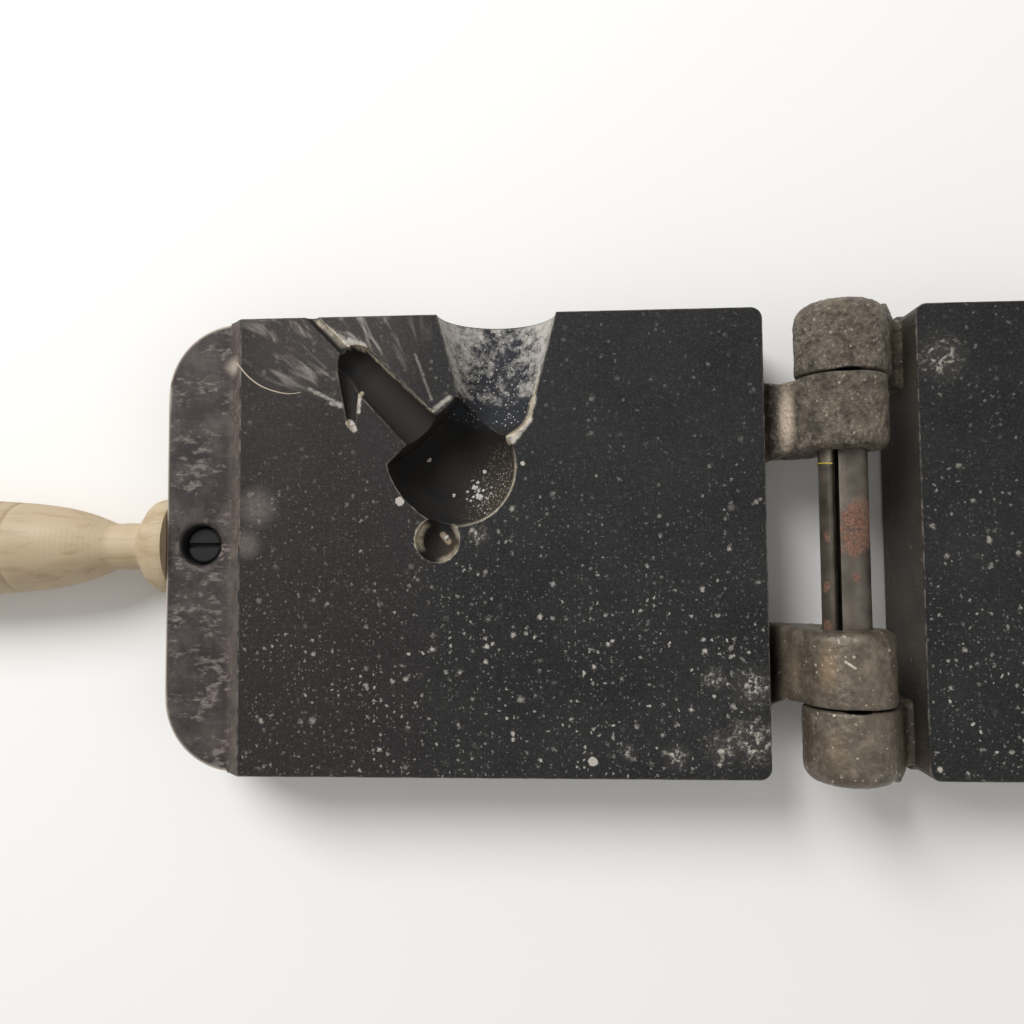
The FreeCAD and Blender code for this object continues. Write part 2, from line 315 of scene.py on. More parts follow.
def markMask(place, side):  # the pale marks together, ragged at their edges
    wobble = addNode("TexNoise", {"Vector": place, "Scale": 1 / 0.8, "Detail": 4.0, "Roughness": 0.7})
    ragged = addNode("VectorMath", {0: wobble.node.outputs["Color"], 1: (0.8, 0.8, 0), 2: place},
                     operation="MULTIPLY_ADD")
    ragged = addNode("VectorMath", {0: ragged, 1: (0.4, 0.4, 0)}, operation="SUBTRACT")
    total = None
    for start, end, width, soft, strength in paleMarks[side]:
        mark = product(lineMask(ragged, start, end, width, soft), strength)
        total = mark if total is None else strongest(total, mark)
    flat = addNode("VectorMath", {0: ragged, 1: (1, 1, 0)}, operation="MULTIPLY")
    for rim, inner, outer, stretches in crustedRims:
        centreX, centreY = cavity[rim]
        reach = addNode("VectorMath", {0: flat, 1: (signOf[side] * centreX, centreY, 0)}, give="Value",
                        operation="DISTANCE")
        grow = addNode("MapRange", {"Value": reach, "From Min": inner - 0.25, "From Max": inner + 0.1})
        fade = addNode("MapRange", {"Value": reach, "From Min": outer + 0.25, "From Max": outer - 0.1})
        ring = product(grow, fade)
        for x, y, near, far, strength in stretches:
            stretch = regionMask(flat, (signOf[side] * x, y, 0), near, far)
            total = strongest(total, product(ring, stretch, strength))
    patchy = addNode("TexNoise", {"Vector": place, "Scale": 1 / 0.9, "Detail": 5.0, "Roughness": 0.7})
    uneven = addNode("MapRange", {"Value": patchy, "From Min": 0.30, "From Max": 0.58, "To Min": 0.2})
    return product(total, uneven)


def makeSootedFace(side):
    look, sign = sootedFaceLook, signOf[side]
    top = faceTop / mm
    material, place = startMaterial("aluminiumMachinedSooted" + side.title())
    moved = addNode("VectorMath", {0: place, 1: (0, 0, 0) if side == "left" else (31, 57, 0)},
                    operation="ADD")
    mottle = addNode("TexNoise", {"Vector": moved, "Scale": 1 / look["mottle"], "Detail": 5.0})
    grain = addNode("TexNoise", {"Vector": moved, "Scale": 1 / 0.3, "Detail": 3.0, "Roughness": 0.7})
    marks = addNode("Mapping", {"Vector": moved, "Scale": (1 / 7, 1 / look["toolMark"], 1)})
    toolMarks = addNode("TexNoise", {"Vector": marks, "Scale": 1 / 1, "Detail": 3.0})
    x = addNode("SeparateXYZ", {0: place}, give="X")
    y = x.node.outputs["Y"]
    outward = addNode("MapRange", {"Value": x, "From Min": sign * 58, "From Max": sign * 98})
    cloudy = addNode("MapRange", {"Value": mottle, "From Min": 0.35, "From Max": 0.7})
    colour = addNode("Mix", {0: cloudy, 6: linear(look["soot"]), 7: linear(look["greySoot"])}, give=2,
                     data_type="RGBA")
    colour = tint(colour, look["warmSoot"], outward)
    colour = tint(colour, "#4C4A48", addNode("MapRange", {"Value": grain, "From Min": 0.48, "From Max": 0.85,
                                                           "To Max": 0.7}))
    colour = tint(colour, "#161614", addNode("MapRange", {"Value": grain, "From Min": 0.45, "From Max": 0.2,
                                                          "To Max": 0.7}))

    # smears run out from the round cavity towards the side where the hook's shank lies
    fanX, fanY = look["fanCentre"]
    fromFan = addNode("VectorMath", {0: place, 1: (sign * fanX, fanY, top)}, operation="SUBTRACT")
    fan = addNode("SeparateXYZ", {0: fromFan}, give="X")
    angle = addNode("Math", {0: fan.node.outputs["Y"], 1: fan}, operation="ARCTAN2")
    reach = addNode("VectorMath", {0: fromFan}, give="Value", operation="LENGTH")
    around = addNode("Math", {0: angle, 1: 30 / look["smearWide"]}, operation="MULTIPLY")
    out = addNode("Math", {0: reach, 1: 1 / look["smearLong"]}, operation="MULTIPLY")
    polar = addNode("CombineXYZ", {"X": around, "Y": out, "Z": 0.0 if side == "left" else 5.0})
    streaks = addNode("TexNoise", {"Vector": polar, "Scale": 1 / 1, "Detail": 6.0, "Roughness": 0.62,
                                   "Distortion": 0.5})
    streakMask = addNode("MapRange", {"Value": streaks, "From Min": 0.51, "From Max": 0.67})
    nearTop = addNode("MapRange", {"Value": y, "From Min": 23.0, "From Max": 33.0})
    smearPlace = regionMask(place, (sign * 87.0, 37.0, top), 9.0, 20.0)
    thick = regionMask(place, (sign * 90.0, 37.0, top), 4.0, 16.0)
    colour = tint(colour, look["smear"], nearTop, smearPlace, mottle, 0.16)
    smears = product(streakMask, nearTop, smearPlace)
    colour = tint(colour, look["smear"], smears, 0.75)
    colour = tint(colour, look["oxide"], addNode("MapRange", {"Value": streaks, "From Min": 0.56,
                                                              "From Max": 0.70}), thick, nearTop, 0.6)

    colour = tint(colour, look["oxide"], markMask(place, side))

    # powdery deposits, scuffed patches and round spots
    crust = addNode("TexNoise", {"Vector": moved, "Scale": 1 / 1.2, "Detail": 7.0, "Roughness": 0.8})
    ridges = addNode("TexNoise", {"Vector": moved, "Scale": 1 / 2.2, "Detail": 6.0, "Roughness": 0.7})
    offRidge = addNode("Math", {0: ridges, 1: 0.5, 2: 0.04}, operation="COMPARE")
    branches = addNode("Math", {0: offRidge, 1: crust}, operation="MULTIPLY")
    for px, py, inner, outer in deposits[side]:
        near = regionMask(place, (px, py, top), inner, outer)
        level = addNode("Math", {0: near, 1: 0.20, 2: crust}, operation="MULTIPLY_ADD")
        patch = addNode("MapRange", {"Value": level, "From Min": 0.71, "From Max": 0.82, "To Max": 0.9})
        branch = addNode("MapRange", {"Value": branches, "From Min": 0.50, "From Max": 0.66, "To Max": 0.9})
        colour = tint(colour, look["smear"], near, crust, 0.22)
        colour = tint(colour, look["lead"], strongest(patch, branch), near)
    for px, py, inner, outer in scuffs[side]:
        near = regionMask(place, (px, py, top), inner, outer)
        colour = tint(colour, look["smear"], near, crust, 0.75)
    for px, py, radius in spots[side]:
        ragged = addNode("VectorMath", {0: crust.node.outputs["Color"], 1: (0.9, 0.9, 0), 2: place},
                         operation="MULTIPLY_ADD")
        spot = regionMask(ragged, (px + 0.45, py + 0.45, top), radius, radius + 0.15)
        colour = tint(colour, look["oxide"], spot, 0.85)

    # specks of oxide in four sizes, more of them on the side away from the pouring hole
    wobble = addNode("TexNoise", {"Vector": moved, "Scale": 1 / 0.4, "Detail": 3.0}, give="Color")
    shaken = addNode("VectorMath", {0: wobble, 1: (1.1, 1.1, 0.0), 2: moved}, operation="MULTIPLY_ADD")
    clusters = addNode("TexNoise", {"Vector": moved, "Scale": 1 / 3.4, "Detail": 5.0, "Roughness": 0.6})
    gathered = addNode("MapRange", {"Value": clusters, "From Min": 0.46, "From Max": 0.60, "To Min": 0.06})
    low = addNode("MapRange", {"Value": y, "From Min": 20.0, "From Max": -20.0, "To Min": 0.25})
    inner = addNode("MapRange", {"Value": outward, "To Min": 1.0, "To Max": 0.6})
    sprinkled = product(gathered, low, inner)
    dust = speckMask(shaken, 0.62, 0.4, 0.17, flat=True)
    flakes = speckMask(shaken, 1.2, 0.5, 0.34, flat=True)
    chips = speckMask(shaken, 2.3, 0.40, 0.62, softness=0.6, flat=True)
    blobs = speckMask(shaken, 9.0, 0.30, 0.8, softness=0.9, flat=True)
    for specks, strength, where in ((dust, 0.3, low), (flakes, 0.85, sprinkled), (chips, 0.95, sprinkled),
                                    (blobs, 0.5, low)):
        colour = tint(colour, look["oxide"], specks, where, strength)

    height = addNode("Math", {0: grain, 1: toolMarks}, operation="ADD")
    raised = addNode("Math", {0: strongest(flakes, chips, streakMask), 1: 0.8, 2: height},
                     operation="MULTIPLY_ADD")
    rough = addNode("MapRange", {"Value": mottle, "From Min": 0.3, "From Max": 0.7, "To Min": 0.52,
                                 "To Max": 0.7})
    return endMaterial(material, colour, rough, raised, 0.4, 0.06, specular=0.2)


# The casting's unmachined skin: sandy, clouded between two shades, with short pale rubs
def makeCastSkin(name, dark, light, rub, rubShare, streaked):
    material, place = startMaterial(name)
    mottle = addNode("TexNoise", {"Vector": place, "Scale": 1 / 9, "Detail": 5.0})
    sand = addNode("TexNoise", {"Vector": place, "Scale": 1 / 0.7, "Detail": 4.0, "Roughness": 0.6})
    shade = addNode("MapRange", {"Value": mottle, "From Min": 0.35, "From Max": 0.68})
    colour = addNode("Mix", {0: shade, 6: linear(dark), 7: linear(light)}, give=2, data_type="RGBA")
    stretch = (1 / 1.7, 1 / 0.8, 1 / 0.8) if streaked else (1 / 0.9, 1 / 0.9, 1 / 0.9)
    rubbed = addNode("Mapping", {"Vector": place, "Scale": stretch, "Rotation": (0, 0, 0.15)})
    rubs = addNode("TexNoise", {"Vector": rubbed, "Scale": 1 / 1, "Detail": 5.0, "Roughness": 0.62})
    patchy = addNode("TexNoise", {"Vector": place, "Scale": 1 / 5, "Detail": 3.0})
    level = addNode("Math", {0: patchy, 1: 0.5, 2: rubs}, operation="MULTIPLY_ADD")
    colour = tint(colour, rub, addNode("MapRange", {"Value": level, "From Min": rubShare + 0.22,
                                                    "From Max": rubShare + 0.38}), 0.75)
    return material, place, colour, sand


# The flange's skin as cast, under the same smoke: purplish dark grey with a pale haze and a worn bright rim
def makeFlangeSkin():
    smoked = ("aluminiumCastSmoked", "#2D2626", "#3C3533", "#857B75", 0.58, True)
    material, place, colour, sand = makeCastSkin(*smoked)
    x = addNode("SeparateXYZ", {0: place}, give="X")
    outward = addNode("Math", {0: x}, operation="ABSOLUTE")
    worn = addNode("TexNoise", {"Vector": place, "Scale": 1 / 3, "Detail": 6.0, "Roughness": 0.65})
    dusty = addNode("TexNoise", {"Vector": place, "Scale": 1 / 6, "Detail": 7.0, "Roughness": 0.72})
    colour = tint(colour, "#736A66", addNode("MapRange", {"Value": dusty, "From Min": 0.44, "From Max": 0.68,
                                                           "To Max": 0.4}))
    foot = addNode("MapRange", {"Value": outward, "From Min": 107.3, "From Max": 105.7},
                   interpolation_type="SMOOTHSTEP")
    colour = tint(colour, "#6B6159", foot, addNode("MapRange", {"Value": worn, "From Min": 0.25,
                                                                "From Max": 0.6, "To Min": 0.25}), 0.6)
    top = block["flangeTop"] / mm
    rounded = addNode("MapRange", {"Value": x.node.outputs["Z"], "From Min": top - 0.02,
                                   "From Max": top - 0.3})
    fromNut = addNode("MapRange", {"Value": outward, "From Min": 115.6, "From Max": 116.6})
    side = addNode("Math", {0: x.node.outputs["Y"]}, operation="ABSOLUTE")
    atEnds = addNode("MapRange", {"Value": side, "From Min": 24.0, "From Max": 32.0})
    colour = tint(colour, "#C9BFB3", rounded, strongest(fromNut, atEnds), 0.9)
    for centre in ((-106.0, 32.0, 17.6), (108.5, -22.0, 16.6)):
        colour = tint(colour, "#B0A598", regionMask(place, centre, 0.6, 2.4), worn, 1.5)
    # painted shade inside the nut holes
    for paintedShadeHoleX in (-block["nutHole"] / mm, block["nutHole"] / mm):
        colour = tint(colour, "#211F1F", regionMask(place, (paintedShadeHoleX, 0, 10.0), 6.7, 7.6))
    return endMaterial(material, colour, 0.62, sand, 0.5, 0.16, specular=0.3)


# The block's sides and back as cast: brownish dark grey, dull and a little metallic
def makeOuterSkin():
    outside = ("aluminiumCastOutside", "#3E3934", "#585047", "#978D80", 0.66, False)
    material, _, colour, sand = makeCastSkin(*outside)
    return endMaterial(material, colour, 0.58, sand, 0.8, 0.25, metal=0.35)


# x and y of each painted band on the knuckles (painted highlights on the lit slopes and barrels, painted
# light in the upper web's valley, painted shade in the lower web's valley), half its width, half its length,
# its strength and colour
paintedLightAndShadeBands = ((-8.8, 20.8, 1.0, 6.4, 1.0, "#FFEAD2"), (-8.7, -22.0, 0.8, 5.0, 0.4, "#9A8A74"),
            (-4.9, -20.5, 1.6, 4.6, 0.6, "#A89070"), (9.6, -21.0, 0.9, 5.0, 0.5, "#A89984"),
            (-4.2, -34.0, 1.9, 4.0, 0.35, "#8F7A5D"), (-11.7, -21.5, 1.9, 9.0, 0.9, "#1F1B1A"),
            (-11.3, 21.0, 1.0, 7.0, 0.3, "#5A544D"))


# Cast aluminium of the knuckles: handled, so browned and rubbed; out of the sand texture come painted shade
# in the grain's hollows, painted highlights on its tops and painted glints
def makeKnuckleSkin():
    browned = ("aluminiumCastBrowned", "#4F463B", "#655B4E", "#746A5D", 0.50, False)
    material, place, colour, sand = makeCastSkin(*browned)
    y = addNode("SeparateXYZ", {0: place}, give="Y")
    coarse = addNode("MapRange", {"Value": y, "From Min": -8.0, "From Max": 8.0, "To Min": 0.25})
    colour = tint(colour, "#968B7C", coarse, 0.5)
    grains = addNode("TexNoise", {"Vector": place, "Scale": 1 / 0.8, "Detail": 6.0, "Roughness": 0.72})
    # painted shade in the hollows of the grain
    colour = tint(colour, "#2E2924", addNode("MapRange", {"Value": grains, "From Min": 0.49,
                                                          "From Max": 0.34, "To Max": 0.75}), coarse)
    # painted highlights on the tops of the grain
    paintedGrainHighlights = addNode("MapRange", {"Value": grains, "From Min": 0.54, "From Max": 0.70, "To Max": 0.9})
    patches = addNode("TexNoise", {"Vector": place, "Scale": 1 / 2.4, "Detail": 3.0})
    here = addNode("MapRange", {"Value": patches, "From Min": 0.38, "From Max": 0.58, "To Min": 0.35})
    colour = tint(colour, "#4A433B", addNode("MapRange", {"Value": patches, "From Min": 0.50,
                                                          "From Max": 0.36, "To Max": 0.65}), coarse)
    colour = tint(colour, "#C9BDAC", paintedGrainHighlights, coarse, here)
    colour = tint(colour, "#9A8D7C", addNode("MapRange", {"Value": patches, "From Min": 0.50,
                                                          "From Max": 0.74, "To Max": 0.45}))
    # painted glints: small bright specks on the grain
    torn = addNode("TexNoise", {"Vector": place, "Scale": 1 / 0.4, "Detail": 3.0}, give="Color")
    shaken = addNode("VectorMath", {0: torn, 1: (0.7, 0.7, 0.7), 2: place}, operation="MULTIPLY_ADD")
    colour = tint(colour, "#D2C6B2", speckMask(shaken, 1.0, 0.9, 0.28), 0.8)
    # painted highlights on the lit slopes and barrels, painted light in the upper web's valley and painted
    # shade in the lower web's valley
    for x, middle, wide, long, strength, shade in paintedLightAndShadeBands:
        squeezed = addNode("Mapping", {"Vector": place, "Location": (x, middle, 0),
                                       "Scale": (wide, long, 40)}, vector_type="TEXTURE")
        colour = tint(colour, shade, regionMask(squeezed, (0, 0, 0), 0.35, 1.3), strength)
    # painted shade over each seam's gap above the axis, and there is a bright nick on one barrel
    for seam in (-knuckle["seam"] / mm, knuckle["seam"] / mm):
        paintedSeamShade = addNode("Mapping", {"Vector": place, "Location": (-0.7, seam, 25.0), "Scale": (2.5, 0.42, 9)},
                       vector_type="TEXTURE")
        colour = tint(colour, "#0D0C0B", regionMask(paintedSeamShade, (0, 0, 0), 0.75, 1.1))
    nick = lineMask(place, (-2.6, -19.5), (-1.2, -20.5), 0.04, 0.26)
    colour = tint(colour, "#D9CFBF", nick, regionMask(place, (-1.9, -20.0, 26.6), 2.0, 3.0), 0.8)
    lumpy = addNode("Math", {0: grains, 1: 1.2, 2: sand}, operation="MULTIPLY_ADD")
    return endMaterial(material, colour, 0.42, lumpy, product(coarse, 0.95), 0.75, metal=0.4)


# The cavity's walls: machined metal under thick mould smoke, blue-black and matt, with grains of lead low in
# the ball, a pale powder in the funnel and pale crusts on the rims that the metal runs over
cavityLook = {"smoke": "#1A1B1D", "smokeLit": "#2A2724", "dust": "#A8A194", "funnel": "#2E3136",
              "powder": "#BDB8B1", "crust": "#CFC3AB", "collar": "#322D2A"}


def makeCavity(side):
    look, sign = cavityLook, signOf[side]
    material, place = startMaterial("aluminiumMouldSmoke" + side.title())
    moved = addNode("VectorMath", {0: place, 1: (0, 0, 0) if side == "left" else (19, 43, 0)},
                    operation="ADD")
    mottle = addNode("TexNoise", {"Vector": moved, "Scale": 1 / 5, "Detail": 5.0})
    colour = addNode("Mix", {0: mottle, 6: linear(look["smoke"]), 7: linear(look["smokeLit"])}, give=2,
                     data_type="RGBA")
    collar = regionMask(place, (sign * 75.5, 24.0, 16.0), 6.5, 9.5)
    colour = tint(colour, look["collar"], collar, 0.9)

    # fine dust low in the ball, thickest towards the hinge, with a cluster of grains
    dustPlace = regionMask(place, (sign * 56.0, 8.0, 15.0), 3.0, 13.0)
    colour = tint(colour, "#3D372F", dustPlace, 0.8)
    grit = strongest(speckMask(moved, 0.36, 0.95, 0.19), speckMask(moved, 0.8, 0.5, 0.26))
    colour = tint(colour, look["dust"], grit, dustPlace, 0.8)
    heap = regionMask(place, (sign * 62.2, 9.0, 9.4), 1.2, 4.4)
    grains = speckMask(moved, 0.75, 0.9, 0.36)
    colour = tint(colour, "#D8D3CA", grains, heap)

    # powder in the funnel, thick on its two walls and at the mouth, ending on an arc above the ball
    across = addNode("SeparateXYZ", {0: place}, give="X")
    y, z = across.node.outputs["Y"], across.node.outputs["Z"]
    flat = addNode("VectorMath", {0: place, 1: (1, 1, 0)}, operation="MULTIPLY")
    funnelX, funnelY = cavity["funnel"]
    funnelPlace = regionMask(flat, (sign * funnelX, funnelY, 0), 16.5, 18.5)
    colour = tint(colour, look["funnel"], funnelPlace, 0.85)
    poured = regionMask(flat, (sign * funnelX, funnelY, 0), 13.0, 13.7)
    powder = addNode("TexNoise", {"Vector": moved, "Scale": 1 / 1.9, "Detail": 9.0, "Roughness": 0.74})
    offMiddle = addNode("Math", {0: addNode("Math", {0: across, 1: -sign * funnelX}, operation="ADD")},
                        operation="ABSOLUTE")
    wall = addNode("MapRange", {"Value": offMiddle, "From Min": 2.5, "From Max": 8.5, "To Max": 0.15})
    mouth = addNode("MapRange", {"Value": y, "From Min": 30.0, "From Max": 39.0, "To Max": 0.07})
    level = addNode("Math", {0: addNode("Math", {0: powder, 1: wall}, operation="ADD"), 1: mouth},
                    operation="ADD")
    powderMask = addNode("MapRange", {"Value": level, "From Min": 0.50, "From Max": 0.73})
    colour = tint(colour, look["powder"], powderMask, poured, 0.88)
    colour = tint(colour, "#D2CDC4", speckMask(moved, 0.55, 0.8, 0.2), funnelPlace, 0.65)

    # crusts on the rims
    colour = tint(colour, look["crust"], markMask(place, side), addNode("MapRange", {"Value": z,
                                                                                     "From Min": 15.4,
                                                                                     "From Max": 16.8}))
    # painted light in the shank's groove, lifting the shadow there, broken up by the powder
    paintedGrooveLight = lineMask(place, (sign * 91.0, 41.0), (sign * 85.6, 35.4), 0.7, 0.4)
    colour = tint(colour, "#8C857D", paintedGrooveLight, powder, 0.9)
    eyeLit = regionMask(place, (sign * 66.6, -0.6, 16.6), 1.0, 3.4)
    colour = tint(colour, "#57493B", eyeLit, mottle, 0.9)
    flake = lineMask(place, (sign * 68.3, 1.5), (sign * 67.3, 0.3), 0.3, 0.4)
    colour = tint(colour, "#A79681", flake, 0.75)
    height = addNode("Math", {0: addNode("TexNoise", {"Vector": moved, "Scale": 1 / 0.4, "Detail": 3.0}),
                              1: powderMask}, operation="ADD")
    return endMaterial(material, colour, 0.78, height, 0.45, 0.06, specular=0.18)


# Worn corners, where handling has rubbed some of the smoke off and left dull grey metal with dust on it
def makeWornEdge(side):
    material, place = startMaterial("aluminiumEdgeWorn" + side.title())
    wear = addNode("TexNoise", {"Vector": place, "Scale": 1 / 2.6, "Detail": 7.0, "Roughness": 0.7})
    mask = addNode("MapRange", {"Value": wear, "From Min": 0.42, "From Max": 0.72})
    colour = addNode("Mix", {0: mask, 6: linear("#262423"), 7: linear("#7A7168")}, give=2, data_type="RGBA")
    # painted shade on the edge between the collar and the ball, which faces away from the light; the edges
    # low in the cavity are darkened by smoke
    sign = signOf[side]
    paintedShoulderShade = lineMask(place, (sign * 79.5, 15.3), (sign * 67.4, 25.7), 0.6, 0.6)
    height = addNode("SeparateXYZ", {0: place}, give="Z")
    inSmoke = addNode("MapRange", {"Value": height, "From Min": 18.6, "From Max": 18.0})
    above = addNode("MapRange", {"Value": height, "From Min": 9.0, "From Max": 10.0})
    inCavity = regionMask(place, (sign * 70.0, 20.0, 16.0), 24.0, 25.0)
    dark = strongest(paintedShoulderShade, product(inSmoke, above, inCavity))
    colour = tint(colour, "#1B1A1A", dark, 0.9)
    colour = tint(colour, "#CFC3AB", markMask(place, side))
    return endMaterial(material, colour, 0.55, wear, 0.4, 0.08, specular=0.35)


# Hardened spring steel, browned by heat, drawn along its length, with one patch and a few freckles of rust
pinLook = {"steel": "#756D63", "dark": "#4F4840", "rust": "#8B6552", "rustDeep": "#553A2F"}


def makePinSteel():
    look = pinLook
    material, place = startMaterial("springSteelBrowned")
    drawn = addNode("Mapping", {"Vector": place, "Scale": (1 / 0.5, 1 / 12, 1 / 0.5)})
    lines = addNode("TexNoise", {"Vector": drawn, "Scale": 1 / 1, "Detail": 4.0})
    cloudy = addNode("TexNoise", {"Vector": place, "Scale": 1 / 4, "Detail": 5.0})
    shade = addNode("MapRange", {"Value": cloudy, "From Min": 0.35, "From Max": 0.7})
    colour = addNode("Mix", {0: shade, 6: linear(look["steel"]), 7: linear(look["dark"])}, give=2,
                     data_type="RGBA")
    scale = addNode("TexNoise", {"Vector": place, "Scale": 1 / 1.6, "Detail": 6.0, "Roughness": 0.7})
    axis = hinge.z / mm
    spots = ((2.2, 2.4, 3.2, 3.0, 6.0), (0.4, -0.4, 3.8, 1.2, 4.2), (-3.6, 0.6, 1.9, 0.3, 1.8),
             (0.6, -6.3, 3.9, 0.2, 1.3), (-4.0, -7.8, 1.5, 0.3, 2.0), (-4.0, -14.6, 1.5, 0.5, 2.6),
             (1.5, 24.0, -3.5, 1.0, 5.0), (-2.0, -38.0, 3.0, 1.0, 4.0), (3.0, 37.0, 2.0, 1.0, 4.0))
    rusty = None
    for x, y, z, inner, outer in spots:
        near = regionMask(place, (x, y, axis + z), inner, outer)
        rusty = near if rusty is None else addNode("Math", {0: rusty, 1: near}, operation="MAXIMUM")
    level = addNode("Math", {0: rusty, 1: 0.55, 2: scale}, operation="MULTIPLY_ADD")
    freckles = addNode("TexNoise", {"Vector": place, "Scale": 1 / 0.45, "Detail": 4.0, "Roughness": 0.7})
    level = addNode("Math", {0: freckles, 1: 0.9, 2: level}, operation="MULTIPLY_ADD")
    rustMask = addNode("MapRange", {"Value": level, "From Min": 1.26, "From Max": 1.48, "To Max": 0.9})
    deep = addNode("MapRange", {"Value": freckles, "From Min": 0.38, "From Max": 0.62})
    rustColour = addNode("Mix", {0: deep, 6: linear(look["rustDeep"]), 7: linear(look["rust"])}, give=2,
                         data_type="RGBA")
    colour = addNode("Mix", {0: rustMask, 6: colour, 7: rustColour}, give=2, data_type="RGBA")
    colour = tint(colour, "#A89C8C", regionMask(place, (-3.4, 14.3, axis + 2.0), 1.2, 2.4), 0.8)
    metal = addNode("MapRange", {"Value": rustMask, "To Min": 0.55, "To Max": 0.0})
    rough = addNode("MapRange", {"Value": rustMask, "To Min": 0.42, "To Max": 0.85})
    height = addNode("Math", {0: rustMask, 1: 1.5, 2: lines}, operation="MULTIPLY_ADD")
    return endMaterial(material, colour, rough, height, 0.4, 0.05, metal)


# Zinc-plated steel: gone dull on the screws and washers, smoked black on the nuts and darkened further there
# as painted shade for the deep holes they sit in
def makeZincSteel(name, dark, light, metal, rough):
    material, place = startMaterial(name)
    cloudy = addNode("TexNoise", {"Vector": place, "Scale": 1 / 2.5, "Detail": 5.0})
    colour = addNode("Mix", {0: cloudy, 6: linear(dark), 7: linear(light)}, give=2, data_type="RGBA")
    return endMaterial(material, colour, rough, addNode("TexNoise", {"Vector": place, "Scale": 1 / 0.3,
                                                                     "Detail": 2.0}), 0.25, 0.04, metal)


# Turned birch, bare and handled: pale cream with long fine grain, grey where hands are, burnt in its grooves
woodLook = {"pale": "#C6B69B", "warm": "#B29C7D", "grainLine": "#917853", "hands": "#9C8C73",
            "burnt": "#5B3520"}


def makeTurnedWood(side):
    look, sign = woodLook, signOf[side]
    material, place = startMaterial("birchTurned" + side.title())
    moved = addNode("VectorMath", {0: place, 1: (0, 0, 0) if side == "left" else (11, 23, 7)},
                    operation="ADD")
    along = addNode("Mapping", {"Vector": moved, "Scale": (1 / 26, 1 / 1.7, 1 / 1.7)})
    fibres = addNode("TexNoise", {"Vector": along, "Scale": 1 / 1, "Detail": 6.0, "Roughness": 0.62,
                                  "Distortion": 0.3})
    rings = addNode("Mapping", {"Vector": moved, "Scale": (1 / 90, 1 / 4.2, 1 / 4.2)})
    bands = addNode("TexNoise", {"Vector": rings, "Scale": 1 / 1, "Detail": 2.0})
    colour = addNode("Mix", {0: bands, 6: linear(look["pale"]), 7: linear(look["warm"])}, give=2,
                     data_type="RGBA")
    colour = tint(colour, look["grainLine"], addNode("MapRange", {"Value": fibres, "From Min": 0.50,
                                                                  "From Max": 0.72, "To Max": 0.6}))
    x = addNode("SeparateXYZ", {0: place}, give="X")
    out = addNode("Math", {0: x, 1: sign}, operation="MULTIPLY")
    grip = addNode("MapRange", {"Value": out, "From Min": 138.0, "From Max": 152.0, "To Max": 0.55})
    dirt = addNode("TexNoise", {"Vector": moved, "Scale": 1 / 9, "Detail": 5.0})
    colour = tint(colour, look["hands"], grip, dirt)
    for start, end in handle["burntRings"]:
        rise = addNode("MapRange", {"Value": out, "From Min": start - 0.6, "From Max": start + 0.5})
        colour = tint(colour, look["burnt"], rise, addNode("MapRange", {"Value": out, "From Min": end + 0.9,
                                                                        "From Max": end - 0.5}), 0.85)
    turning = addNode("Math", {0: out, 1: 2 * math.pi / handle["toolPitch"]}, operation="MULTIPLY")
    ridges = addNode("Math", {0: turning}, operation="SINE")
    height = addNode("Math", {0: ridges, 1: 0.12, 2: fibres}, operation="MULTIPLY_ADD")
    return endMaterial(material, colour, 0.58, height, 0.5, 0.12, specular=0.35)


# Lead left behind: small grey-white grains with an oxide bloom
def makeLeadCrumbs():
    material, place = startMaterial("leadOxidised")
    bloom = addNode("TexNoise", {"Vector": place, "Scale": 1 / 0.6, "Detail": 4.0})
    colour = addNode("Mix", {0: bloom, 6: linear("#8E8B86"), 7: linear("#E2DED6")}, give=2,
                     data_type="RGBA")
    return endMaterial(material, colour, 0.6, bloom, 0.5, 0.05)


# A strand of yellow thread and a pale fibre, both soft and matt
def makeThread(name, light, dark):
    material, place = startMaterial(name)
    fuzz = addNode("TexNoise", {"Vector": place, "Scale": 1 / 0.25, "Detail": 3.0})
    shade = addNode("Mix", {0: product(fuzz, 0.5), 6: linear(light), 7: linear(dark)}, give=2,
                    data_type="RGBA")
    return endMaterial(material, shade, 0.8)


# the blocks: one casting each, with its face machined flat and its flange, webs and knuckles left as cast

block = {
    "hingeSide": 12.75 * mm,             # from the hinge axis to the block
    "cutBehind": 0.005 * mm,             # the knuckles are cut off this far inside that side
    "faceEdge": 103.8 * mm,
    "riserFoot": 106.2 * mm,
    "flangeTop": faceTop - 2.6 * mm,
    "nutHole": 111.8 * mm,
    "nutHoleRadius": 3.45 * mm,
    "cavityFloor": 8.0 * mm,
    "cavityStart": 40.0 * mm,            # no part of the cavity lies nearer the hinge than this
    "flangeRound": 1.1 * mm,
    "holeRound": 1.3 * mm,
    "edgeRound": 0.22 * mm,
}


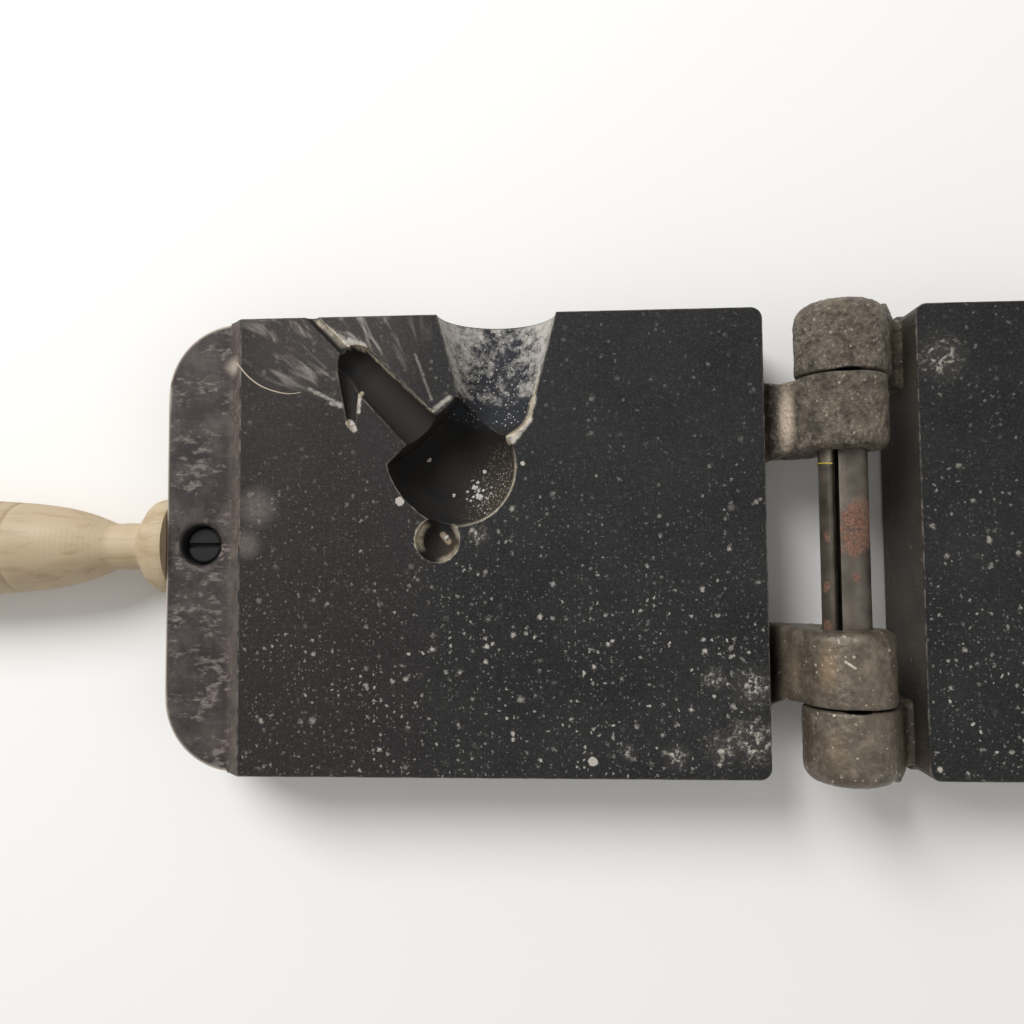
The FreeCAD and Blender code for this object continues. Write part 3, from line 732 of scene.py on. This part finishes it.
def plateOf(side, looks):  # a copy of the CAD block without its knuckles, its edges worn round
    sign = signOf[side]
    activate(frame["nodes"][side + "_block"])
    bpy.ops.object.duplicate()
    plate = newest(side + "Plate")
    plate.parent = None
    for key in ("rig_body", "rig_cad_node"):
        del plate[key]
    closeUp(plate)
    editing(plate)
    selectAll()
    cutAt = sign * (block["hingeSide"] + block["cutBehind"])
    bpy.ops.mesh.bisect(plane_co=(cutAt, 0, 0), plane_no=(-sign, 0, 0), use_fill=True, clear_outer=True)
    selectAll()
    bpy.ops.mesh.dissolve_limited(angle_limit=math.radians(0.5))
    selectAll()
    bpy.ops.mesh.remove_doubles(threshold=0.03 * mm)

    def atFlangeTop(edge):
        return all(abs(v.co.z - block["flangeTop"]) < 0.1 * mm for v in edge.verts)

    def fromHole(edge):
        middle = (edge.verts[0].co + edge.verts[1].co) / 2
        return math.hypot(middle.x - sign * block["nutHole"], middle.y) - block["nutHoleRadius"]

    def isSharp(edge):
        return len(edge.link_faces) == 2 and edge.calc_face_angle() > math.radians(40)

    pick(plate, "EDGE", lambda e: atFlangeTop(e) and isSharp(e) and fromHole(e) > 1 * mm
         and abs(e.verts[0].co.x) > block["riserFoot"] + 0.3 * mm)
    bpy.ops.mesh.bevel(offset=block["flangeRound"], segments=5, clamp_overlap=False)
    pick(plate, "EDGE", lambda e: atFlangeTop(e) and isSharp(e) and abs(fromHole(e)) < 0.15 * mm)
    bpy.ops.mesh.bevel(offset=block["holeRound"], segments=4, clamp_overlap=False)
    doneEditing()

    plate.data.materials.clear()
    for material in looks:
        plate.data.materials.append(material)
    for face in plate.data.polygons:
        face.material_index = lookOf(face, sign)
    finishWith(plate, "BEVEL", width=block["edgeRound"], segments=2, limit_method="ANGLE",
               angle_limit=math.radians(28), use_clamp_overlap=False, material=4)
    for vertex in plate.data.vertices:  # where rounds meet, their corners stay within the block
        vertex.co.y = max(min(vertex.co.y, halfWidth), -halfWidth)
        vertex.co.z = max(min(vertex.co.z, faceTop), 0)
    smoothBelow(plate, 30)
    finishWith(plate, "WEIGHTED_NORMAL", keep_sharp=True, weight=80)
    return plate


def lookOf(face, sign):  # machined face, cavity, flange, outside or worn edge, by where the face lies
    x, y, z = abs(face.center.x), abs(face.center.y), face.center.z
    if z > faceTop - 0.02 * mm and face.normal.z > 0.99:
        return 0
    if (block["cavityStart"] < x < block["faceEdge"] - 0.1 * mm and y < halfWidth - 0.1 * mm
            and z > block["cavityFloor"]):
        return 1
    inNutHole = math.hypot(x - block["nutHole"], y) < block["nutHoleRadius"] + block["holeRound"] + 0.1 * mm
    onFlange = x > block["faceEdge"] - 0.1 * mm and z > block["flangeTop"] - block["flangeRound"]
    if (onFlange and face.normal.z > 0.1) or (inNutHole and z > 1 * mm):
        return 2
    return 3


knuckle = {
    "radius": 7.63 * mm,
    "bore": 4.15 * mm,
    "grain": 0.28 * mm,                  # size of the cells that the casting is rebuilt from
    # the free end and the end at the seam: distance from the middle, round
    "left": ((14.8 * mm, 1.9 * mm), (27.3 * mm, 0.7 * mm)),
    "right": ((27.6 * mm, 0.7 * mm), (40.0 * mm, 3.0 * mm)),
    # the web's section in mm from the hinge axis, with the block on the minus side
    "web": ((-14.6, -6.0), (-11.4, -6.0), (-6.89, 3.27), (-4.1, -4.1), (3.44, -6.81), (-14.6, -16.3)),
    # the web against its barrel: how much shorter at the end nearer the middle and at the far end
    "webShort": {"left": (-0.2 * mm, 0.1 * mm), "right": (0.5 * mm, 0.2 * mm)},
    "webRound": 1.4 * mm,
    "outerRound": 0.6 * mm,
    "tuck": 1.1 * mm,                    # how far an outer web draws in at the block's rounded corner
    # how far it widens at the block, near the middle and far from it, for the upper and the lower webs
    "flare": {True: (1.8 * mm, 2.6 * mm), False: (0.4 * mm, 3.2 * mm)},
    "flareRun": (8.2 * mm, 12.9 * mm),   # where that starts and ends, from the hinge axis
    "cuts": (-13.6, -12.6, -11.7, -10.6, -9.4),  # rows of vertices across the web, in mm, for the flare
    "seam": 27.45 * mm,                  # from the middle to each joint between two barrels
    "lumps": ((4.2 * mm, 0.26 * mm), (1.3 * mm, 0.26 * mm), (0.62 * mm, 0.26 * mm)),  # size, height
    "stillBore": 0.7 * mm,               # no roughness this near the bore or the seam
}


def sectionSheet(name, points, y):  # a flat face across the hinge axis with these corners
    sheet = disc(name, len(points), 1 * mm, (0, y, hinge.z), (90, 0, 0))
    for i, (x, z) in enumerate(points):
        start = sheet.data.vertices[i].co.copy()
        target = Vector((x * mm, y, hinge.z + z * mm))
        editing(sheet)
        pick(sheet, "VERT", lambda v: v.index == i)
        bpy.ops.transform.translate(value=target - start)
        doneEditing()
    return sheet


def barrelOf(name, low, lowRound, high, highRound):  # a tube about the hinge axis, its rims rounded
    bpy.ops.mesh.primitive_cylinder_add(vertices=96, radius=knuckle["radius"], depth=high - low,
                                        location=(0, (low + high) / 2, hinge.z),
                                        rotation=(math.radians(90), 0, 0))
    barrel = newest(name)
    applyPlace(barrel)
    editing(barrel)
    pick(barrel, "FACE", lambda f: abs(f.normal.y) > 0.9)
    bpy.ops.mesh.inset(thickness=knuckle["radius"] - knuckle["bore"])
    pick(barrel, "FACE", lambda f: abs(f.normal.y) > 0.9 and len(f.verts) == 96)
    bpy.ops.mesh.bridge_edge_loops()
    for end, roundness in ((low, lowRound), (high, highRound)):
        pick(barrel, "EDGE", lambda e: all(
            abs(v.co.y - end) < 0.01 * mm
            and abs(math.hypot(v.co.x, v.co.z - hinge.z) - knuckle["radius"]) < 0.02 * mm for v in e.verts))
        bpy.ops.mesh.bevel(offset=roundness, segments=6, clamp_overlap=False)
    doneEditing()
    closeUp(barrel)
    return barrel


def webOf(name, side, low, high):  # the arm that carries the barrel, wider where it meets the block
    sign = -signOf[side]
    (nearShort, farShort), (nearFlare, farFlare) = knuckle["webShort"][side], knuckle["flare"][low > 0]
    if low < 0:
        nearShort, farShort, nearFlare, farFlare = farShort, nearShort, farFlare, nearFlare
    low, high = low + nearShort, high - farShort
    web = sectionSheet(name, [(x * sign, z) for x, z in knuckle["web"]], low)
    editing(web)
    selectAll()
    extrude(0, high - low, 0)
    for outermost, roundness in ((False, knuckle["webRound"]), (True, knuckle["outerRound"])):
        pick(web, "EDGE", lambda e: abs(e.verts[0].co.y - e.verts[1].co.y) < 0.01 * mm
             and abs(e.verts[0].co.x - e.verts[1].co.x) > 0.01 * mm
             and (abs(e.verts[0].co.y) > halfWidth - 1 * mm) == outermost
             and min(abs(e.verts[0].co.y - low), abs(e.verts[0].co.y - high)) < 0.01 * mm)
        bpy.ops.mesh.bevel(offset=roundness, segments=4, clamp_overlap=False)
    for cut in knuckle["cuts"]:
        selectAll()
        bpy.ops.mesh.bisect(plane_co=(cut * mm * sign, 0, 0), plane_no=(1, 0, 0))
    doneEditing()
    middle = (low + high) / 2
    for vertex in web.data.vertices:
        nearBlock = ramp(-vertex.co.x * sign, *knuckle["flareRun"]) ** 1.5
        flare = nearBlock * (nearFlare if vertex.co.y < middle else farFlare)
        moved = vertex.co.y + math.copysign(flare, vertex.co.y - middle)
        reach = halfWidth - knuckle["webShort"]["right"][1] - knuckle["tuck"] * nearBlock
        vertex.co.y = math.copysign(min(abs(moved), reach), moved)
    closeUp(web)
    return web


def knuckleOf(side, upper):
    (nearMiddle, nearRound), (farMiddle, farRound) = knuckle[side]
    if upper:
        ends = (nearMiddle, nearRound, farMiddle, farRound)
    else:
        ends = (-farMiddle, farRound, -nearMiddle, nearRound)
    name = side + ("Upper" if upper else "Lower")
    barrel = barrelOf(name + "Barrel", *ends)
    web = webOf(name + "Web", side, ends[0], ends[2])
    piece = joinAll([barrel, web], name + "Knuckle")
    finishWith(piece, "REMESH", mode="VOXEL", voxel_size=knuckle["grain"], adaptivity=0)
    finishWith(piece, "SMOOTH", factor=0.5, iterations=5)
    roughen(piece, side, name)
    return piece


def roughen(piece, side, name):  # sand-cast roughness, held back at the bore and at the seam
    free = piece.vertex_groups.new(name="rough")
    for vertex in piece.data.vertices:
        fromAxis = math.hypot(vertex.co.x, vertex.co.z - hinge.z)
        hold = ramp(fromAxis, knuckle["bore"] + 0.3 * mm, knuckle["bore"] + 0.3 * mm + knuckle["stillBore"])
        hold *= ramp(abs(abs(vertex.co.y) - knuckle["seam"]), 0.25 * mm, 0.25 * mm + knuckle["stillBore"])
        hold *= ramp(block["hingeSide"] - abs(vertex.co.x), 0, 1 * mm)
        hold *= 0.5 + 0.5 * ramp(vertex.co.y, -8 * mm, 8 * mm)  # the lower knuckles are smoother
        free.add([vertex.index], hold, "REPLACE")
    for i, (size, height) in enumerate(knuckle["lumps"]):
        texture = clouds(name + "Lumps" + str(i), size, 2)
        finishWith(piece, "DISPLACE", texture=texture, texture_coords="LOCAL", strength=height,
                   mid_level=0.75, vertex_group="rough")


# what the last pour left behind: grains of lead in the cavity and a whisker on the face
leavings = {
    # x and y of each heap in mm, its spread, how many grains, their smallest and largest size
    "left": ((-62.9, 10.3, 0.75, 12, 0.16, 0.42), (-62.3, 8.6, 0.9, 16, 0.16, 0.45),
             (-60.6, 6.6, 2.0, 22, 0.08, 0.2), (-71.6, 15.5, 0.1, 1, 0.55, 0.55),
             (-67.0, 8.8, 0.5, 3, 0.2, 0.42), (-61.3, 13.1, 0.1, 1, 0.42, 0.42),
             (-58.0, 11.0, 2.4, 20, 0.07, 0.16), (-83.8, 20.9, 0.35, 6, 0.3, 0.6),
             (-82.5, 24.4, 0.2, 3, 0.2, 0.34), (-56.0, 24.6, 2.4, 14, 0.08, 0.2),
             (-60.0, 30.0, 3.5, 16, 0.08, 0.2), (-67.6, 1.0, 0.25, 2, 0.35, 0.5)),
    "right": ((60.5, 8.0, 1.6, 14, 0.12, 0.34), (58.5, 28.0, 3.6, 16, 0.08, 0.22),
              (84.0, 21.2, 0.2, 2, 0.2, 0.4)), "seed": {"left": 11, "right": 23},
    "whisker": ((-104.4, 32.1), (-102.4, 29.7), (-99.8, 27.8), (-95.7, 26.5), (-92.8, 26.6)),
    "whiskerWide": 0.11 * mm, "whiskerHigh": 0.04 * mm,
}


def leavingsOn(whole, side):
    pieces, chance = [], random.Random(leavings["seed"][side])
    for x, y, spread, count, smallest, largest in leavings[side]:
        for i in range(count):
            above = Vector((chance.gauss(x, spread / 2) * mm, chance.gauss(y, spread / 2) * mm, 0.1))
            hit, spot, normal, _ = whole.ray_cast(above, (0, 0, -1))
            size = chance.uniform(smallest, largest) * mm
            if not hit or spot.z > faceTop - size:
                continue
            bpy.ops.mesh.primitive_ico_sphere_add(subdivisions=2 if size > 0.25 * mm else 1, radius=size,
                                                  location=spot + normal * size * 0.3)
            grain = newest("leadGrain")
            for vertex in grain.data.vertices:
                vertex.co *= chance.uniform(0.72, 1.1)
            grain.scale = (1, chance.uniform(0.6, 1.0), chance.uniform(0.4, 0.8))
            grain.rotation_euler = (0, 0, chance.uniform(0, math.pi))
            applyPlace(grain)
            grain.data.materials.append(crumbLead)
            pieces.append(grain)
    if side == "left":
        pieces.append(whiskerOnFace())
    return pieces


def whiskerOnFace():  # a flat hair of lead, its ends drawn out to nothing
    path, steps = leavings["whisker"], 28
    (startX, startY), endX = path[0], path[-1][0]
    bpy.ops.mesh.primitive_circle_add(vertices=8, radius=leavings["whiskerWide"], fill_type="NGON",
                                      location=(startX * mm, startY * mm, faceTop + 0.01 * mm),
                                      rotation=(math.radians(90), 0, math.radians(40)))
    whisker = newest("leadWhisker")
    whisker.scale.y = leavings["whiskerHigh"] / leavings["whiskerWide"]
    applyPlace(whisker)
    editing(whisker)
    selectAll()
    x, y = startX, startY
    for step in range(1, steps + 1):
        nextX = startX + (endX - startX) * step / steps
        nextY = profileAt(path, nextX)
        extrude((nextX - x) * mm, (nextY - y) * mm, 0)
        x, y = nextX, nextY
    bpy.ops.transform.resize(value=(0.2, 0.2, 0.5))
    doneEditing()
    closeUp(whisker)
    whisker.data.materials.append(paleLint)
    return whisker


def profileAt(points, along):  # smooth curve through points whose first number rises
    slopes = []
    for i in range(len(points)):
        before, after = points[max(i - 1, 0)], points[min(i + 1, len(points) - 1)]
        slopes.append((after[1] - before[1]) / (after[0] - before[0]))
    for i in range(len(points) - 1):
        (x0, r0), (x1, r1) = points[i], points[i + 1]
        if along <= x1:
            t, span = (along - x0) / (x1 - x0), x1 - x0
            return ((2 * t ** 3 - 3 * t ** 2 + 1) * r0 + (t ** 3 - 2 * t ** 2 + t) * span * slopes[i]
                    + (3 * t ** 2 - 2 * t ** 3) * r1 + (t ** 3 - t ** 2) * span * slopes[i + 1])
    return points[-1][1]


def blockOf(side):
    looks = [makeSootedFace(side), makeCavity(side), flangeSkin, outerSkin, makeWornEdge(side), knuckleSkin]
    plate = plateOf(side, looks)
    knuckles = [knuckleOf(side, upper) for upper in (True, False)]
    for piece in knuckles:
        piece.data.materials.append(knuckleSkin)
        activate(piece)
        bpy.ops.object.shade_smooth()
    whole = joinAll([plate, *knuckles], side + "Block")
    whole = joinAll([whole, *leavingsOn(whole, side)], side + "Block")
    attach(whole, bodyOf[side])
    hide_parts(side + "_block")
    return whole


# the hinge pin: a slotted spring pin, rolled from strip

pin = {
    "radius": 3.97 * mm,
    "wall": 1.45 * mm,
    "slot": 0.9 * mm,
    "slotAt": 37.0,                      # degrees from the top, towards the left
    "length": 78.4 * mm,
    "lip": 0.55 * mm,                    # round of the strip's edges
    "sides": 150,
    "steps": 112,
    "bare": 14.4 * mm,                   # from the middle: as far as it is seen between the knuckles
    "threadAt": 12.55 * mm,              # from the middle to the scrap of thread
}


def threadScrap():  # a scrap of yellow thread caught round the strip beside the slot
    radius, at = pin["radius"] + 0.07 * mm, math.radians(pin["slotAt"] + 4)
    place = Vector((-radius * math.sin(at), pin["threadAt"], hinge.z + radius * math.cos(at)))
    scrap = disc("threadScrap", 8, 0.11 * mm, place, (0, 90, 0))
    editing(scrap)
    selectAll()
    bpy.ops.mesh.spin(steps=20, angle=math.radians(75), center=(0, pin["threadAt"], hinge.z), axis=(0, 1, 0))
    doneEditing()
    for vertex in scrap.data.vertices:  # it lies a little askew
        vertex.co.y -= 0.2 * (vertex.co.x - place.x)
    closeUp(scrap)
    scrap.data.materials.append(yellowThread)
    return scrap


def makePin():
    start = (0, -pin["length"] / 2, hinge.z)
    body = disc("hingePin", pin["sides"], pin["radius"], start, (90, 0, 0), fill="NOTHING")
    toSlot = Vector((-math.sin(math.radians(pin["slotAt"])), 0, math.cos(math.radians(pin["slotAt"]))))
    editing(body)
    pick(body, "VERT", lambda v: (Vector((v.co.x, 0, v.co.z - hinge.z)).angle(toSlot)
                                  < pin["slot"] / 2 / pin["radius"]))
    bpy.ops.mesh.delete(type="VERT")
    selectAll()
    for step in range(pin["steps"]):
        bpy.ops.mesh.extrude_edges_move(
            TRANSFORM_OT_translate={"value": (0, pin["length"] / pin["steps"], 0)})
    selectAll()
    bpy.ops.mesh.normals_make_consistent(inside=False)
    strip = bmesh.from_edit_mesh(body.data).faces
    strip.ensure_lookup_table()
    middle = strip[0].calc_center_median()
    if strip[0].normal.dot(middle - Vector((0, middle.y, hinge.z))) < 0:
        bpy.ops.mesh.flip_normals()
    doneEditing()
    finishWith(body, "SOLIDIFY", thickness=pin["wall"], offset=-1)
    finishWith(body, "BEVEL", width=pin["lip"], segments=4, limit_method="ANGLE",
               angle_limit=math.radians(50), use_clamp_overlap=False)
    free = body.vertex_groups.new(name="rough")
    for vertex in body.data.vertices:
        free.add([vertex.index], ramp(pin["bare"] - abs(vertex.co.y), 0, 0.8 * mm), "REPLACE")
    for name, size, height in (("pinScale", 2.6 * mm, 0.05 * mm), ("pinPits", 0.6 * mm, 0.03 * mm)):
        finishWith(body, "DISPLACE", texture=clouds(name, size), texture_coords="LOCAL",
                   strength=height, mid_level=0.75, vertex_group="rough")
    body.data.materials.append(pinSteel)
    body = joinAll([body, threadScrap()], "hingePin")
    smoothBelow(body, 35)
    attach(body, "right_half")
    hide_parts("hinge_pin")
    return body


# the handles: turned wood, a bead against the flange, a narrow neck and a long swelling grip

handle = {
    "sides": 96,
    "bead": ((0.0, 9.0), (0.6, 9.1), (2.0, 8.88), (3.9, 8.25), (5.4, 6.6), (6.3, 5.2), (6.8, 4.5)),
    "neck": ((7.4, 4.35), (9.5, 4.4), (12.3, 4.4)),
    "grip": ((14.0, 5.0), (17.0, 6.15), (21.3, 7.3), (27.0, 8.15), (35.0, 8.8), (46.3, 9.2), (56.0, 9.0),
             (66.0, 8.35), (76.3, 7.7), (86.0, 7.35), (92.0, 7.3), (97.3, 7.2)),
    "tail": ((99.2, 6.75), (100.4, 6.1), (101.15, 5.7)),
    "end": 101.3,
    "rimWidth": 0.35,
    "counterbore": (5.1 * mm, 5.0 * mm),  # radius, depth
    "lip": 0.3 * mm,                     # depth of the first ring inside the counterbore
    "screwHole": (2.3 * mm, 94.0 * mm),
    "step": 1.0, "fineStep": 0.22,       # from one ring to the next, in mm
    "fineUntil": 14, "fineFrom": 96,     # the bead with its neck, and the tail
    "burntRings": ((9.9, 11.2), (30.0, 30.9), (33.4, 34.3), (90.0, 90.9)),
    "grooveDeep": 0.35,
    "toolPitch": 0.9,
}


def turnedRadius(along):
    points = handle["bead"] + handle["neck"] + handle["grip"] + handle["tail"]
    radius = profileAt(points, along)
    for start, end in handle["burntRings"][1:]:
        inGroove = 1 - abs(along - (start + end) / 2) / ((end - start) / 2)
        radius -= handle["grooveDeep"] * max(inGroove, 0)
    return radius


def stations():  # where the rings go: close together on the bead, at the grooves and at the tail
    places, along = [0.0], 0.0
    while along < handle["tail"][-1][0]:
        atGroove = any(a - 0.5 < along < b + 0.3 for a, b in handle["burntRings"])
        fine = atGroove or not handle["fineUntil"] <= along <= handle["fineFrom"]
        along += handle["fineStep"] if fine else handle["step"]
        places.append(min(along, handle["tail"][-1][0]))
    return places


def makeHandle(side):
    sign, rings = signOf[side], stations()
    low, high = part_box(side + "_handle")
    start = (sign * flangeEdge, 0, (low.z + high.z) / 2)
    wood = disc(side + "Handle", handle["sides"], turnedRadius(0) * mm, start, (0, 90, 0))
    editing(wood)
    selectAll()
    radius = turnedRadius(0)
    steps = [(here - there, turnedRadius(here)) for there, here in zip(rings, rings[1:])]
    steps.append((handle["end"] - rings[-1], turnedRadius(rings[-1]) - handle["rimWidth"]))
    for move, nextRadius in steps:
        extrude(sign * move * mm, 0, 0)
        bpy.ops.transform.resize(value=(1, nextRadius / radius, nextRadius / radius))
        radius = nextRadius
    # the screw's head sits in a counterbore in the tail
    boreRadius, boreDeep = handle["counterbore"]
    bpy.ops.mesh.inset(thickness=radius * mm - boreRadius)
    extrude(-sign * handle["lip"], 0, 0)
    extrude(-sign * (boreDeep - handle["lip"]), 0, 0)
    holeRadius, holeDeep = handle["screwHole"]
    bpy.ops.mesh.inset(thickness=boreRadius - holeRadius)
    extrude(-sign * holeDeep, 0, 0)
    doneEditing()
    closeUp(wood)
    for name, size, height in (("woodWarp", 24 * mm, 0.10 * mm), ("woodDents", 3.5 * mm, 0.05 * mm)):
        finishWith(wood, "DISPLACE", texture=clouds(side + name, size), texture_coords="LOCAL",
                   strength=height, mid_level=0.9)
    smoothBelow(wood, 40)
    wood.data.materials.append(makeTurnedWood(side))
    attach(wood, bodyOf[side])
    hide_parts(side + "_handle")
    return wood


# making it all

flangeSkin, outerSkin = makeFlangeSkin(), makeOuterSkin()
knuckleSkin, crumbLead, pinSteel = makeKnuckleSkin(), makeLeadCrumbs(), makePinSteel()
zincSteel = makeZincSteel("steelZincDull", "#5E5B55", "#8C8980", 0.9, 0.45)
yellowThread = makeThread("cottonYellow", "#D9C24A", "#7A6A3A")
paleLint = makeThread("lintPale", "#C6B9A4", "#8E8474")
# the nuts' black is soot and also painted shade for the deep holes they sit in
sootedSteelPaintedShade = makeZincSteel("steelZincSootedPaintedShade", "#191818", "#201F1F", 0.0, 0.85)
print("materials made")
for side in ("left", "right"):
    blockOf(side)
    makeHandle(side)
    print(side, "half made")
makePin()
print("pin made")
for name in ("handle_washer", "handle_screw", "barrel_nut"):
    for side in ("left", "right"):
        node = frame["nodes"][side + "_" + name]
        for slot in node.material_slots:
            slot.material = sootedSteelPaintedShade if name == "barrel_nut" else zincSteel


# the stage: a pale floor, a soft light from the upper left and the camera nearly overhead

stage = {
    "floorSize": 9.0,
    "key": ((-0.42, 0.45, 0.62), 0.42, 5.8),   # place, size, power
    "fill": ((0.55, -0.25, 0.7), 0.6, 0.6),
    "sky": 0.44,
}
viewpoint = {
    "place": Vector((-47.0945, -2.6284, 168.120)) * mm,
    "right": (0.998223, -0.007221, -0.059154),
    "up": (0.010307, 0.998593, 0.052020),
    "back": (0.058695, -0.052537, 0.996893),
    "lens": 30.586,
    "sensor": 36.0,
}


def makeStage():
    bpy.ops.mesh.primitive_plane_add(size=stage["floorSize"], location=(0, 0, -0.02 * mm))
    floor = newest("paleFloor")
    applyPlace(floor)
    paper = startMaterial("paperWhiteMatt")[0]
    floor.data.materials.append(endMaterial(paper, linear("#F4F3F1"), 0.9, specular=0.1))
    for name in ("key", "fill"):
        place, size, power = stage[name]
        bpy.ops.object.light_add(type="AREA", location=place)
        light = bpy.context.object
        light.name = name + "Light"
        light.data.shape = "DISK"
        light.data.size = size
        light.data.energy = power
        aim = Vector((-0.04, 0, 0.01)) - Vector(place)
        light.rotation_euler = aim.to_track_quat("-Z", "Y").to_euler()
    world = bpy.data.worlds.new("softRoom")
    bpy.context.scene.world = world
    world.use_nodes = True
    world.node_tree.nodes["Background"].inputs["Color"].default_value = linear("#FFFDFA")
    world.node_tree.nodes["Background"].inputs["Strength"].default_value = stage["sky"]


def makeCamera():
    bpy.ops.object.camera_add(location=viewpoint["place"])
    camera = bpy.context.object
    camera.name = "overheadCamera"
    turn = Matrix([viewpoint["right"], viewpoint["up"], viewpoint["back"]]).transposed()
    camera.rotation_euler = turn.to_euler()
    camera.data.lens = viewpoint["lens"]
    camera.data.sensor_width = viewpoint["sensor"]
    camera.data.clip_start = 0.001
    bpy.context.scene.camera = camera


makeStage()
makeCamera()
bpy.context.scene.view_settings.view_transform = "Standard"
print("stage made")
